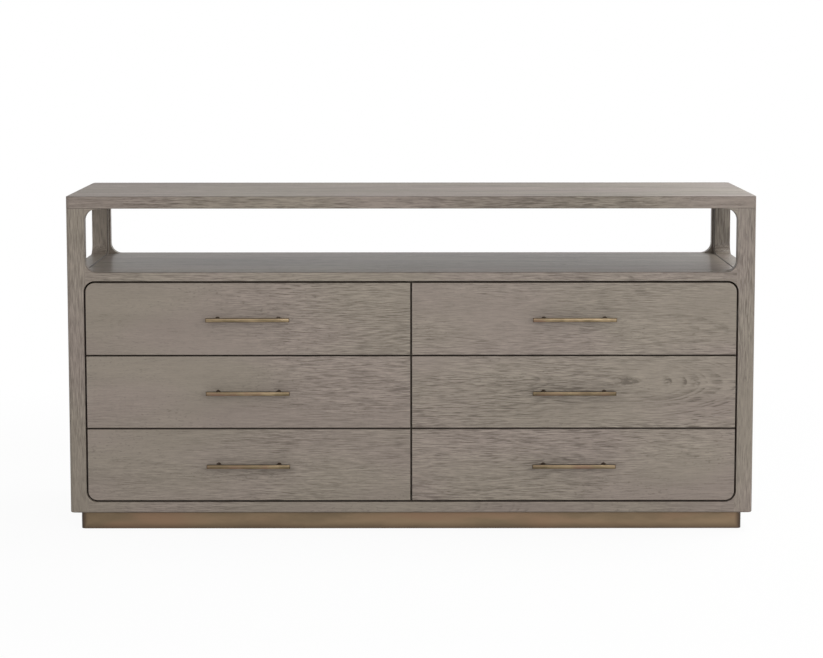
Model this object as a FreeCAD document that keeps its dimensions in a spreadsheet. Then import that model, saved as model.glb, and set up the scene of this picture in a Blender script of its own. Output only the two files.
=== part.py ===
"""Six-drawer dresser with an open bay under its top, as a parametric document.

Millimetres, +Z up, front towards -Y. The origin is on the floor, in the middle of the footprint
that the carcass and its pulls cover together.
"""
import FreeCAD
import Part
import Sketcher
import math
import os
import re

from FreeCAD import Vector

ROWS = ("lower", "middle", "upper")
COLUMNS = (("left", -1), ("right", 1))
TAILS = 4

# Driving dimensions: name, value and meaning
DRIVING = (
    ("overall_width", "1810", "over the side panels"),
    ("carcass_depth", "508", "front face to rear face, without the pulls"),
    ("top_thickness", "32", "top panel"),
    ("bay_height", "168", "clear height of the open bay"),
    ("shelf_thickness", "24", "shelf panel and the rails in line with it"),
    ("front_height", "192", "one drawer front"),
    ("bottom_rail_height", "30", "rail under the lowest drawers"),
    ("plinth_height", "48", "floor to the underside of the carcass"),
    ("edge_gap", "3.2", "gap round the bank of drawer fronts and between its columns"),
    ("row_gap", "2.8", "gap between drawer fronts one above the other"),
    ("frame_thickness", "25", "front and rear frames, front to back"),
    ("post_width", "49", "frame stile beside the open bay"),
    ("side_thickness", "45", "side panel, and frame stile beside the drawers"),
    ("post_depth", "46", "frame and side panel together beside the side window"),
    ("sill_rise", "2", "side window sill above the shelf"),
    ("ear_straight", "6", "straight run of a stile's ear past its round"),
    ("tip_land", "0.2", "flat left beside the round at the thin end of an upper ear"),
    ("corner_round", "12.5", "outer upright corners, seen from above"),
    ("bay_round", "30", "corners of the bay and of the side windows"),
    ("opening_round", "28", "outer corners of the drawer opening"),
    ("arris", "1.2", "eased edges"),
    ("window_edge", "1.8", "round along the edges of a side window"),
    ("under_round", "3", "round along the lower outer edges of the carcass"),
    ("plinth_inset", "25", "plinth behind the carcass faces, all round"),
    ("plinth_thickness", "22", "plinth boards"),
    ("block_length", "70", "corner block, along each plinth board"),
    ("dowel_radius", "4", "dowel between the top panel and what carries it"),
    ("dowel_length", "40", "whole dowel"),
    ("dowel_play", "0.1", "play round a dowel and past its ends"),
    ("foot_radius", "15", "pad of a levelling foot"),
    ("foot_pad", "5", "thickness of that pad"),
    ("stem_radius", "4", "threaded stem of a levelling foot"),
    ("stem_length", "32", "stem above its pad"),
    ("bottom_thickness", "18", "bottom panel"),
    ("back_thickness", "9", "back panel"),
    ("divider_thickness", "20", "upright board between the drawer columns"),
    ("front_thickness", "20", "drawer front"),
    ("box_height", "142", "sides of a drawer box"),
    ("box_lift", "20", "drawer box above the lower edge of its front"),
    ("box_clearance", "18", "space behind a closed drawer box"),
    ("tail_width", "24", "wide end of a dovetail"),
    ("tail_flare", "2", "how much a dovetail widens on each side"),
    ("board", "14", "sides, inner front and back of a drawer box"),
    ("base_board", "7", "bottom of a drawer box"),
    ("base_lift", "9", "drawer bottom above the lower edge of the box"),
    ("groove_depth", "6", "groove that holds the drawer bottom"),
    ("groove_play", "0.2", "play round the drawer bottom in its groove"),
    ("runner_width", "12.7", "side space that a runner fills"),
    ("runner_height", "45", "cabinet member of a runner"),
    ("runner_short", "33", "runner members end before the back of the drawer box"),
    ("runner_wall", "1.6", "sheet of a runner member"),
    ("runner_play", "0.4", "running play between runner members"),
    ("runner_setback", "3", "runner behind the back of the drawer front"),
    ("pull_length", "220", "bar of a pull"),
    ("pull_height", "10.6", "bar of a pull, upright"),
    ("pull_depth", "9", "bar of a pull, front to back"),
    ("pull_projection", "30", "front of a pull before the drawer front"),
    ("pull_centres", "160", "pull posts, centre to centre"),
    ("pull_edge", "0.9", "chamfer along the bar"),
    ("post_radius", "5.3", "post of a pull"),
    ("screw_radius", "2", "shank of a pull screw"),
    ("screw_play", "0.25", "clearance round that shank in the boards"),
    ("thread_play", "0.05", "clearance round that shank in the post"),
    ("screw_bite", "9", "length of the screw inside the post"),
    ("head_radius", "4.2", "head of a pull screw"),
    ("head_height", "2.6", "head of a pull screw"),
    ("overrun", "5", "how far a cutting tool passes the faces it cuts"),
)

# Places and sizes that follow from them
DERIVED = (
    ("half_width", "overall_width / 2"),
    ("front_face", "-(carcass_depth - pull_projection) / 2"),
    ("rear_face", "front_face + carcass_depth"),
    ("front_inner", "front_face + frame_thickness"),
    ("rear_inner", "rear_face - frame_thickness"),
    ("opening_base", "plinth_height + bottom_rail_height"),
    ("opening_height", f"{len(ROWS)} * front_height + {len(ROWS) - 1} * row_gap + 2 * edge_gap"),
    ("shelf_base", "opening_base + opening_height"),
    ("shelf_top", "shelf_base + shelf_thickness"),
    ("slab_base", "shelf_top + bay_height"),
    ("ear_tip", "window_edge + tip_land"),
    ("post_edge", "half_width - post_width"),
    ("opening_edge", "half_width - side_thickness"),
    ("ear_end", "post_edge - bay_round - ear_straight"),
    ("window_sill", "shelf_top + sill_rise"),
    ("plinth_edge", "half_width - plinth_inset"),
    ("plinth_front", "front_face + plinth_inset"),
    ("plinth_rear", "rear_face - plinth_inset"),
    ("back_front", "rear_inner - back_thickness"),
    ("floor_top", "plinth_height + bottom_thickness"),
    ("front_back", "front_face + front_thickness"),
    ("front_width", "opening_edge - 3 * edge_gap / 2"),
    ("front_round", "opening_round - edge_gap"),
    ("column_edge", "edge_gap / 2"),
    ("row_pitch", "front_height + row_gap"),
    ("first_row", "opening_base + edge_gap"),
    ("box_inner", "divider_thickness / 2 + runner_width"),
    ("box_outer", "opening_edge - runner_width"),
    ("box_width", "box_outer - box_inner"),
    ("box_depth", "back_front - front_back - box_clearance"),
    ("box_front", "front_back + board"),
    ("box_rear", "front_back + box_depth"),
    ("tail_pitch", f"box_height / {TAILS}"),
    ("runner_length", "box_depth - runner_setback - runner_short"),
    ("runner_centre", "box_lift + box_height / 2"),
    ("middle_height", "runner_height - 2 * runner_wall - 2 * runner_play"),
    ("inner_height", "middle_height - 2 * runner_wall - 2 * runner_play"),
    ("runner_front", "front_back + runner_setback"),
    ("runner_rear", "runner_front + runner_length"),
    ("pull_back", "front_face - pull_projection + pull_depth"),
)

doc = FreeCAD.newDocument("dresser")
sheet = doc.addObject("Spreadsheet::Sheet", "sizes")
nodes = {}


def bound(text):
    """The expression with every name pointed at the sheet."""
    return re.sub(r"[a-z_]+", lambda word: "sizes." + word.group(), str(text))


def fill_sheet():
    """Driving cells as plain numbers, derived cells as formulas below them."""
    row = 1
    for name, number, meaning in DRIVING:
        sheet.set(f"A{row}", name)
        sheet.set(f"B{row}", number)
        sheet.set(f"C{row}", meaning)
        sheet.setAlias(f"B{row}", name)
        row += 1
    for name, formula in DERIVED:
        sheet.set(f"A{row}", name)
        sheet.set(f"B{row}", "=" + formula)
        sheet.setAlias(f"B{row}", name)
        row += 1
    doc.recompute()


def value(text):
    """What an expression comes to now."""
    return float(sheet.evalExpression(bound(text)))


def keep(label, feature):
    """File a finished feature under its node's name."""
    feature.Label = label
    nodes[label] = feature
    return feature


def place(feature, x="0", y="0", z="0"):
    """Bind a feature's position."""
    for axis, text in (("x", x), ("y", y), ("z", z)):
        if text != "0":
            feature.setExpression(f"Placement.Base.{axis}", bound(text))


# Sketches

def towards(start, end):
    """Unit vector from one sketch point to another."""
    step = end - start
    return step / step.Length


def draw_outline(sketch, corners):
    """Closed outline of level and upright edges; a corner with a radius is rounded."""
    count = len(corners)
    spots = [Vector(value(corner[0]), value(corner[1]), 0) for corner in corners]
    entries = []
    exits = []
    arcs = []
    for index, corner in enumerate(corners):
        spot = spots[index]
        back = towards(spot, spots[index - 1])
        ahead = towards(spot, spots[(index + 1) % count])
        radius = value(corner[2]) if len(corner) > 2 else 0
        entries.append(spot + back * radius)
        exits.append(spot + ahead * radius)
        arcs.append((spot + (back + ahead) * radius, radius, back.cross(ahead).z < 0))
    lines = []
    for index in range(count):
        following = (index + 1) % count
        start = exits[index]
        end = entries[following]
        line = sketch.addGeometry(Part.LineSegment(start, end))
        lines.append(line)
        upright = abs(start.x - end.x) < abs(start.y - end.y)
        sketch.addConstraint(Sketcher.Constraint("Vertical" if upright else "Horizontal", line))
        kind = "DistanceX" if upright else "DistanceY"
        number = start.x if upright else start.y
        text = corners[index][0] if upright else corners[index][1]
        bind(sketch, Sketcher.Constraint(kind, -1, 1, line, 1, number), text)
    for index, corner in enumerate(corners):
        previous = lines[index - 1]
        centre, radius, anticlockwise = arcs[index]
        if not radius:
            sketch.addConstraint(Sketcher.Constraint("Coincident", previous, 2, lines[index], 1))
            continue
        first = entries[index] if anticlockwise else exits[index]
        last = exits[index] if anticlockwise else entries[index]
        circle = Part.Circle(centre, Vector(0, 0, 1), radius)
        arc = sketch.addGeometry(Part.ArcOfCircle(circle, circle.parameter(first), circle.parameter(last)))
        start_point, end_point = (1, 2) if anticlockwise else (2, 1)
        sketch.addConstraint(Sketcher.Constraint("Tangent", previous, 2, arc, start_point))
        sketch.addConstraint(Sketcher.Constraint("Tangent", arc, end_point, lines[index], 1))
        bind(sketch, Sketcher.Constraint("Radius", arc, radius), corner[2])


def bind(sketch, constraint, text):
    """Add a dimension and tie it to its expression."""
    number = sketch.addConstraint(constraint)
    sketch.setExpression(f"Constraints[{number}]", bound(text))


def draw_circle(sketch, across, up, radius):
    """Round hole in a sketch."""
    centre = Vector(value(across), value(up), 0)
    circle = sketch.addGeometry(Part.Circle(centre, Vector(0, 0, 1), value(radius)))
    bind(sketch, Sketcher.Constraint("DistanceX", -1, 1, circle, 3, centre.x), across)
    bind(sketch, Sketcher.Constraint("DistanceY", -1, 1, circle, 3, centre.y), up)
    bind(sketch, Sketcher.Constraint("Radius", circle, value(radius)), radius)


def plate(name, plane, outline, thickness, holes=()):
    """Body that pads one outline: XY pads towards +Z, XZ towards -Y and YZ towards +X."""
    body = doc.addObject("PartDesign::Body", name)
    sketch = body.newObject("Sketcher::SketchObject", name + "_outline")
    base = [item for item in body.Origin.OriginFeatures if item.Role == plane + "_Plane"][0]
    sketch.AttachmentSupport = [(base, "")]
    sketch.MapMode = "FlatFace"
    draw_outline(sketch, outline)
    for hole in holes:
        draw_circle(sketch, *hole)
    pad = body.newObject("PartDesign::Pad", name + "_pad")
    pad.Profile = sketch
    pad.setExpression("Length", bound(thickness))
    doc.recompute()
    return body


def ease(body, radius, chosen, kind="Fillet"):
    """Round or chamfer the edges whose middle point passes the test."""
    tip = body.Tip
    names = []
    for number, edge in enumerate(tip.Shape.Edges, 1):
        if not edge.isClosed() and chosen(edge.valueAt((edge.FirstParameter + edge.LastParameter) / 2)):
            names.append(f"Edge{number}")
    feature = body.newObject("PartDesign::" + kind, f"{body.Name}_{kind}_{len(body.Group)}")
    feature.Base = (tip, names)
    feature.setExpression("Radius" if kind == "Fillet" else "Size", bound(radius))
    doc.recompute()
    return feature


def same(first, second):
    """Whether two coordinates are equal, within the modeller's rounding."""
    return math.isclose(first, second, abs_tol=value("arris") / 1000)


def rectangle(left, bottom, right, top):
    """Corners of a plain rectangle."""
    return [(left, bottom), (right, bottom), (right, top), (left, top)]


def box(name, length, width, height, x, y, z):
    """Plain board, from its lowest corner."""
    board = doc.addObject("Part::Box", name)
    board.setExpression("Length", bound(length))
    board.setExpression("Width", bound(width))
    board.setExpression("Height", bound(height))
    place(board, x, y, z)
    return board


def rod(name, radius, length, x, y, z, along_y=True):
    """Round bar from its start point, towards +Y or +Z."""
    bar = doc.addObject("Part::Cylinder", name)
    bar.setExpression("Radius", bound(radius))
    bar.setExpression("Height", bound(length))
    if along_y:
        bar.Placement.Rotation = FreeCAD.Rotation(Vector(0, 0, 1), Vector(0, 1, 0))
    place(bar, x, y, z)
    return bar


def group(name, members):
    """Separate solids that share one node."""
    compound = doc.addObject("Part::Compound", name)
    compound.Links = members
    return compound


def cut(name, base, tools):
    """Base with every tool taken away."""
    result = doc.addObject("Part::Cut", name)
    result.Base = base
    result.Tool = tools[0] if len(tools) == 1 else group(name + "_tools", tools)
    return result


# Carcass

def dowel(name, x, y, play="0"):
    """Dowel that stands half in the top panel and half in what carries it, or the bore for one."""
    return rod(name, f"dowel_radius + {play}", f"dowel_length + 2 * {play}", x, y,
               f"slab_base - dowel_length / 2 - {play}", along_y=False)


def dowel_spots():
    """Two dowels at each corner: one over the frame stile and one over the side panel's jamb."""
    spots = []
    for column, side in COLUMNS:
        across = f"{side} * (half_width - side_thickness / 2)"
        for end, face, way in (("front", "front_face", 1), ("rear", "rear_face", -1)):
            spots.append((f"{end}_stile_{column}", across, f"{face} + {way} * frame_thickness / 2"))
            jamb = f"{face} + {way} * (frame_thickness + post_depth) / 2"
            spots.append((f"{end}_jamb_{column}", across, jamb))
    return spots


def bored_for_dowels(label, feature, wanted):
    """The feature with a bore for each dowel that the test picks by name."""
    bores = [dowel(f"{label}_bore_{name}", x, y, "dowel_play") for name, x, y in dowel_spots() if wanted(name)]
    return cut(f"{label}_bored", feature, bores)


def make_dowels():
    """The dowels themselves, as separate solids of one node."""
    dowels = [dowel(f"dowel_{name}", x, y) for name, x, y in dowel_spots()]
    keep("top_dowels", group("dowels", dowels))


def make_top():
    """Top panel with rounded upright corners and eased edges."""
    outline = [(f"{side} * half_width", end, "corner_round")
               for side, end in ((-1, "front_face"), (1, "front_face"), (1, "rear_face"), (-1, "rear_face"))]
    body = plate("top_panel", "XY", outline, "top_thickness")
    place(body, z="slab_base")
    thickness = value("top_thickness")
    ease(body, "arris", lambda spot: same(spot.z, thickness) or same(spot.z, 0))
    keep("top_panel", bored_for_dowels("top", body, lambda name: True))


def stile_outline(side):
    """Elevation of a frame stile, with ears that carry the rounds of the bay and drawer opening."""
    return [
        (f"{side} * half_width", "plinth_height"),
        (f"{side} * half_width", "slab_base"),
        (f"{side} * ear_end", "slab_base"),
        (f"{side} * ear_end", "slab_base - ear_tip"),
        (f"{side} * post_edge", "slab_base - ear_tip", "bay_round"),
        (f"{side} * post_edge", "shelf_top", "bay_round"),
        (f"{side} * ear_end", "shelf_top"),
        (f"{side} * ear_end", "shelf_base"),
        (f"{side} * opening_edge", "shelf_base", "opening_round"),
        (f"{side} * opening_edge", "opening_base", "opening_round"),
        (f"{side} * ear_end", "opening_base"),
        (f"{side} * ear_end", "plinth_height"),
    ]


def ease_frame(body, face):
    """Ease the edges round the openings on one face of a frame member, not where it meets others."""
    low = value("plinth_height")
    high = value("slab_base")
    joint = value("ear_end")
    outer = value("half_width")

    def chosen(spot):
        meets = same(spot.z, low) or same(spot.z, high) or same(abs(spot.x), joint)
        return same(spot.y, face) and not meets and not same(abs(spot.x), outer)
    ease(body, "arris", chosen)


def ease_under(body, chosen):
    """Round the lower edges of the carcass that the test picks."""
    low = value("plinth_height")
    ease(body, "under_round", lambda spot: same(spot.z, low) and chosen(spot))


def make_stiles():
    """Front and rear frame stiles, rounded down their outer upright corner."""
    outer = value("half_width")
    thickness = value("frame_thickness")
    for column, side in COLUMNS:
        for end, base, face in (("front", "front_inner", -thickness), ("rear", "rear_face", 0)):
            name = f"{end}_stile_{column}"
            body = plate(name, "XZ", stile_outline(side), "frame_thickness")
            place(body, y=base)
            ease(body, "corner_round", lambda spot: same(abs(spot.x), outer) and same(spot.y, face))
            ease_frame(body, face)
            ease_under(body, lambda spot: same(spot.y, face))
            keep(name, bored_for_dowels(name, body, lambda spot_name, own=name: spot_name == own))


def make_rails():
    """Rails between the stiles' ears, at the shelf and at the bottom."""
    thickness = value("frame_thickness")
    levels = (("shelf_rail", "shelf_base", "shelf_top"), ("bottom_rail", "plinth_height", "opening_base"))
    for end, base, face in (("front", "front_inner", -thickness), ("rear", "rear_face", 0)):
        for level, low, high in levels:
            name = f"{end}_{level}"
            body = plate(name, "XZ", rectangle("-ear_end", low, "ear_end", high), "frame_thickness")
            place(body, y=base)
            ease_frame(body, face)
            if low == "plinth_height":
                ease_under(body, lambda spot: same(spot.y, face))
            keep(name, body)


def make_side_panels():
    """Side panels, open above the sill between their front and rear jambs."""
    outline = [
        ("front_inner", "plinth_height"),
        ("rear_inner", "plinth_height"),
        ("rear_inner", "slab_base"),
        ("rear_face - post_depth - bay_round - ear_straight", "slab_base"),
        ("rear_face - post_depth - bay_round - ear_straight", "slab_base - ear_tip"),
        ("rear_face - post_depth", "slab_base - ear_tip", "bay_round"),
        ("rear_face - post_depth", "window_sill", "bay_round"),
        ("front_face + post_depth", "window_sill", "bay_round"),
        ("front_face + post_depth", "slab_base - ear_tip", "bay_round"),
        ("front_face + post_depth + bay_round + ear_straight", "slab_base - ear_tip"),
        ("front_face + post_depth + bay_round + ear_straight", "slab_base"),
        ("front_inner", "slab_base"),
    ]
    thickness = value("side_thickness")
    sill = value("window_sill")
    jambs = (value("front_inner"), value("rear_inner"))
    high = value("slab_base")
    for column, side in COLUMNS:
        name = f"side_panel_{column}"
        body = plate(name, "YZ", outline, "side_thickness")
        place(body, x="opening_edge" if side > 0 else "-half_width")
        faces = (0, thickness)

        def round_window(spot):
            ends = [same(spot.y, jamb) for jamb in jambs]
            above = spot.z > sill or same(spot.z, sill)
            return any(same(spot.x, face) for face in faces) and above and not same(spot.z, high) and not any(ends)
        ease(body, "window_edge", round_window)
        outside = thickness if side > 0 else 0
        ease_under(body, lambda spot: same(spot.x, outside))
        jamb_names = (f"front_jamb_{column}", f"rear_jamb_{column}")
        keep(name, bored_for_dowels(name, body, lambda spot_name, own=jamb_names: spot_name in own))


def make_panels():
    """Shelf, bottom, back and centre divider."""
    wide = ("-opening_edge", "opening_edge")
    shelf = plate("shelf_panel", "XY", rectangle(wide[0], "front_inner", wide[1], "rear_inner"), "shelf_thickness")
    place(shelf, z="shelf_base")
    keep("shelf_panel", shelf)
    bottom = plate("bottom_panel", "XY", rectangle(wide[0], "front_inner", wide[1], "rear_inner"), "bottom_thickness")
    place(bottom, z="plinth_height")
    keep("bottom_panel", bottom)
    back = plate("back_panel", "XZ", rectangle(wide[0], "floor_top", wide[1], "shelf_base"), "back_thickness")
    place(back, y="rear_inner")
    keep("back_panel", back)
    outline = rectangle("front_inner", "floor_top", "back_front", "shelf_base")
    divider = plate("centre_divider", "YZ", outline, "divider_thickness")
    place(divider, x="-divider_thickness / 2")
    keep("centre_divider", divider)


# Plinth

def make_plinth():
    """Plinth boards in a ring, with a cross rail in the middle."""
    for end, outer, inner in (("front", "plinth_front", "plinth_front + plinth_thickness"),
                              ("back", "plinth_rear", "plinth_rear - plinth_thickness")):
        outline = [
            ("-plinth_edge", outer, "corner_round"),
            ("plinth_edge", outer, "corner_round"),
            ("plinth_edge", inner),
            ("-plinth_edge", inner),
        ]
        keep(f"plinth_{end}", plate(f"plinth_{end}", "XY", outline, "plinth_height"))
    near = "plinth_front + plinth_thickness"
    far = "plinth_rear - plinth_thickness"
    for column, side in COLUMNS:
        outline = rectangle(f"{side} * plinth_edge", near, f"{side} * (plinth_edge - plinth_thickness)", far)
        keep(f"plinth_{column}", plate(f"plinth_{column}", "XY", outline, "plinth_height"))
    outline = rectangle("-plinth_thickness / 2", near, "plinth_thickness / 2", far)
    keep("plinth_cross_rail", plate("plinth_cross_rail", "XY", outline, "plinth_height"))


def make_feet():
    """Corner blocks inside the plinth, and the levelling feet screwed up into them."""
    blocks = []
    feet = []
    for column, side in COLUMNS:
        left = "plinth_thickness - plinth_edge" if side < 0 else "plinth_edge - plinth_thickness - block_length"
        for end, near in (("front", "plinth_front + plinth_thickness"),
                          ("back", "plinth_rear - plinth_thickness - block_length")):
            name = f"{end}_{column}"
            centre_x = f"{left} + block_length / 2"
            centre_y = f"{near} + block_length / 2"
            block = box(f"block_{name}", "block_length", "block_length", "plinth_height - foot_pad",
                        left, near, "foot_pad")
            bore = rod(f"block_bore_{name}", "stem_radius + thread_play", "stem_length + overrun",
                       centre_x, centre_y, "0", along_y=False)
            blocks.append(cut(f"bored_block_{name}", block, [bore]))
            pad = rod(f"foot_pad_{name}", "foot_radius", "foot_pad", centre_x, centre_y, "0", along_y=False)
            stem = rod(f"foot_stem_{name}", "stem_radius", "foot_pad + stem_length",
                       centre_x, centre_y, "0", along_y=False)
            foot = doc.addObject("Part::Fuse", f"foot_{name}")
            foot.Base = pad
            foot.Tool = stem
            feet.append(foot)
    keep("plinth_corner_blocks", group("corner_blocks", blocks))
    keep("levelling_feet", group("feet", feet))


# Drawers

def row_base(row):
    """Height of the lower edge of a row's drawer fronts."""
    return f"first_row + {row} * row_pitch"


def column_middle(side):
    """Middle of a column's drawer fronts."""
    return f"{side} * (column_edge + front_width / 2)"


def make_front(name, row, column, side):
    """Drawer front, rounded at the corner that lies in a corner of the opening."""
    inner = f"{side} * column_edge"
    outer = f"{side} * (column_edge + front_width)"
    low = row_base(row)
    high = f"{low} + front_height"
    outline = rectangle(inner, low, outer, high)
    if row == 0:
        outline[1] = (outer, low, "front_round")
    if row == len(ROWS) - 1:
        outline[2] = (outer, high, "front_round")
    middle = column_middle(side)
    holes = [(f"{middle} + {end} * pull_centres / 2", f"{low} + front_height / 2", "screw_radius + screw_play")
             for end in (-1, 1)]
    body = plate(f"front_{name}", "XZ", outline, "front_thickness", holes)
    place(body, y="front_back")
    face = -value("front_thickness")
    ease(body, "arris", lambda spot: same(spot.y, face))
    keep(f"drawer_front_{name}", body)


def make_tails(name, left, low, joint, way):
    """Dovetails of one side board at one end: narrow at the joint line, wide at the outer face."""
    tails = []
    for number in range(TAILS):
        tail = doc.addObject("Part::Wedge", f"{name}_tail_{number}")
        half = "tail_width / 2"
        narrow = f"{half} - tail_flare"
        inner, outer = (narrow, half) if way > 0 else (half, narrow)
        bounds = {"Xmin": "0", "X2min": "0", "Xmax": "board", "X2max": "board", "Ymin": "0", "Ymax": "board",
                  "Zmin": f"-({inner})", "Zmax": inner, "Z2min": f"-({outer})", "Z2max": outer}
        for size, text in bounds.items():
            tail.setExpression(size, bound(text))
        start = joint if way > 0 else f"{joint} - board"
        place(tail, left, start, f"{low} + ({number} + 1 / 2) * tail_pitch")
        tails.append(tail)
    return tails


def make_box(name, row, side):
    """Dovetailed drawer box, grooved for the bottom that its four boards hold."""
    left = "box_inner" if side > 0 else "-box_outer"
    low = f"{row_base(row)} + box_lift"
    boards = []
    sockets = {"front": [], "back": []}
    for mark, edge in (("a", left), ("b", f"{left} + box_width - board")):
        core = box(f"side_{mark}_{name}", "board", "box_depth - 2 * board", "box_height", edge, "box_front", low)
        front_tails = make_tails(f"front_{mark}_{name}", edge, low, "box_front", -1)
        back_tails = make_tails(f"back_{mark}_{name}", edge, low, "box_rear - board", 1)
        sockets["front"] += front_tails
        sockets["back"] += back_tails
        whole = doc.addObject("Part::MultiFuse", f"tailed_side_{mark}_{name}")
        whole.Shapes = [core] + front_tails + back_tails
        boards.append(whole)
    for end, near in (("front", "front_back"), ("back", "box_rear - board")):
        board = box(f"inner_{end}_{name}", "box_width", "board", "box_height", left, near, low)
        boards.append(cut(f"socketed_{end}_{name}", board, sockets[end]))
    inset = "board - groove_depth"
    groove = box(f"groove_{name}", f"box_width - 2 * ({inset})", f"box_depth - 2 * ({inset})",
                 "base_board + 2 * groove_play", f"{left} + {inset}", f"front_back + {inset}",
                 f"{low} + base_lift - groove_play")
    tools = [groove]
    for end in (-1, 1):
        tools.append(rod(f"screw_hole_{name}_{end + 1}", "screw_radius + screw_play", "board + 2 * overrun",
                         f"{column_middle(side)} + {end} * pull_centres / 2", "front_back - overrun",
                         f"{row_base(row)} + front_height / 2"))
    keep(f"drawer_box_{name}", cut(f"box_{name}", group(f"boards_{name}", boards), tools))
    play = f"{inset} + groove_play"
    base = box(f"bottom_{name}", f"box_width - 2 * ({play})", f"box_depth - 2 * ({play})", "base_board",
               f"{left} + {play}", f"front_back + {play}", f"{low} + base_lift")
    keep(f"drawer_bottom_{name}", base)


def make_pull(name, row, side):
    """Bar pull on two posts, with the screws that reach it from inside the drawer box."""
    middle = column_middle(side)
    height = f"{row_base(row)} + front_height / 2"
    bar = plate(f"bar_{name}", "YZ", rectangle("-pull_depth", "-pull_height / 2", "0", "pull_height / 2"),
                "pull_length")
    place(bar, f"{middle} - pull_length / 2", "pull_back", height)
    ease(bar, "pull_edge", lambda spot: True, "Chamfer")
    members = [bar]
    for end in (-1, 1):
        across = f"{middle} + {end} * pull_centres / 2"
        post = rod(f"post_{name}_{end + 1}", "post_radius", "front_face - pull_back", across, "pull_back", height)
        bore = rod(f"post_bore_{name}_{end + 1}", "screw_radius + thread_play", "screw_bite + thread_play + overrun",
                   across, "front_face - screw_bite - thread_play", height)
        members.append(cut(f"bored_post_{name}_{end + 1}", post, [bore]))
        shank = rod(f"shank_{name}_{end + 1}", "screw_radius", "screw_bite + front_thickness + board",
                    across, "front_face - screw_bite", height)
        head = rod(f"head_{name}_{end + 1}", "head_radius", "head_height", across, "box_front", height)
        screw = doc.addObject("Part::Fuse", f"screw_{name}_{end + 1}")
        screw.Base = shank
        screw.Tool = head
        members.append(screw)
    keep(f"pull_{name}", group(f"pull_set_{name}", members))


def channel(name, web, lips, height, centre):
    """Runner member: a channel from its web face to its lips, about a centre height."""
    wall = f"{web} + runner_wall" if value(lips) > value(web) else f"{web} - runner_wall"
    outline = [
        (web, f"{centre} - {height} / 2"),
        (lips, f"{centre} - {height} / 2"),
        (lips, f"{centre} - {height} / 2 + runner_wall"),
        (wall, f"{centre} - {height} / 2 + runner_wall"),
        (wall, f"{centre} + {height} / 2 - runner_wall"),
        (lips, f"{centre} + {height} / 2 - runner_wall"),
        (lips, f"{centre} + {height} / 2"),
        (web, f"{centre} + {height} / 2"),
    ]
    body = plate(name, "XZ", outline, "runner_length")
    place(body, y="runner_rear")
    return body


def make_runners(name, row, side):
    """Three-member runners on both sides of a drawer; returns the cabinet members."""
    centre = f"{row_base(row)} + runner_centre"
    cabinet = []
    middle = []
    inner = []
    for wall, way in ((f"{side} * opening_edge", -side), (f"{side} * divider_thickness / 2", side)):
        mark = f"{name}_{'outer' if way != side else 'inner'}"
        nest = "runner_wall + runner_play"
        cabinet.append(channel(f"cabinet_member_{mark}", wall, f"{wall} + {way} * (runner_width - {nest})",
                               "runner_height", centre))
        middle.append(channel(f"middle_member_{mark}", f"{wall} + {way} * ({nest})",
                              f"{wall} + {way} * (runner_width - {nest})", "middle_height", centre))
        inner.append(channel(f"drawer_member_{mark}", f"{wall} + {way} * runner_width",
                             f"{wall} + {way} * 2 * ({nest})", "inner_height", centre))
    keep(f"middle_runners_{name}", group(f"middles_{name}", middle))
    keep(f"drawer_runners_{name}", group(f"inners_{name}", inner))
    return cabinet


def make_drawers():
    """All drawers, and the one node of cabinet members that carries them."""
    cabinet = []
    for row, level in enumerate(ROWS):
        for column, side in COLUMNS:
            name = f"{level}_{column}"
            make_front(name, row, column, side)
            make_box(name, row, side)
            make_pull(name, row, side)
            cabinet += make_runners(name, row, side)
    keep("cabinet_runners", group("cabinet_members", cabinet))


def check_and_write():
    """Stop on any failed object or shape, then write one file per node."""
    doc.recompute()
    for item in doc.Objects:
        if "Invalid" in item.State or "Error" in item.State:
            raise RuntimeError(f"{item.Label} failed: {item.State}")
    for label, feature in nodes.items():
        if feature.Shape.isNull() or not feature.Shape.isValid() or not feature.Shape.Solids:
            raise RuntimeError(f"{label} has no valid solid")
    os.makedirs("parts", exist_ok=True)
    for label, feature in nodes.items():
        feature.Shape.exportStep(f"parts/{label}.step")
        print(f"{label}: {len(feature.Shape.Solids)} solids, {feature.Shape.Volume:.0f} cubic millimetres")


fill_sheet()
make_top()
make_dowels()
make_stiles()
make_rails()
make_side_panels()
make_panels()
make_plinth()
make_feet()
make_drawers()
check_and_write()
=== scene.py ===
# Six-drawer dresser in ash-grey oak: its finishes, pulls and screws,
# with the camera and the light of the picture
import math

import bmesh
import bpy
from mathutils import Matrix, Vector


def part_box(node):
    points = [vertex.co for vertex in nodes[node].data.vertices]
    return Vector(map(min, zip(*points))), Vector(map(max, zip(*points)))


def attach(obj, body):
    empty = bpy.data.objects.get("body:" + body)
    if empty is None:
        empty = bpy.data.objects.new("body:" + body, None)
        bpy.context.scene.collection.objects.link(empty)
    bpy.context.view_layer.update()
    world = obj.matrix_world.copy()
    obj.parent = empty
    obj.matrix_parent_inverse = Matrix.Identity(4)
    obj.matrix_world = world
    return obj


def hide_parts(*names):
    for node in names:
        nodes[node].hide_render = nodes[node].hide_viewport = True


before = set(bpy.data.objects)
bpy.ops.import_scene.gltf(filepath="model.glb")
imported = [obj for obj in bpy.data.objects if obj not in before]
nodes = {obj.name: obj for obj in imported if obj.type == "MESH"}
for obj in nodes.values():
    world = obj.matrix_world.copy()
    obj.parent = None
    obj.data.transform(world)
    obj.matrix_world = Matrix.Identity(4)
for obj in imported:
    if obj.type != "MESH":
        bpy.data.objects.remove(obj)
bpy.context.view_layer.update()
scene = bpy.context.scene

levels = ("lower", "middle", "upper")
columns = ("left", "right")
drawerNames = [f"{level}_{column}" for level in levels for column in columns]
alongX = Vector((1, 0, 0))
alongY = Vector((0, 1, 0))
alongZ = Vector((0, 0, 1))


# Small helpers for node trees

def setSocket(tree, socket, entry):
    if isinstance(entry, bpy.types.NodeSocket):
        tree.links.new(entry, socket)
    else:
        socket.default_value = entry


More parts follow.
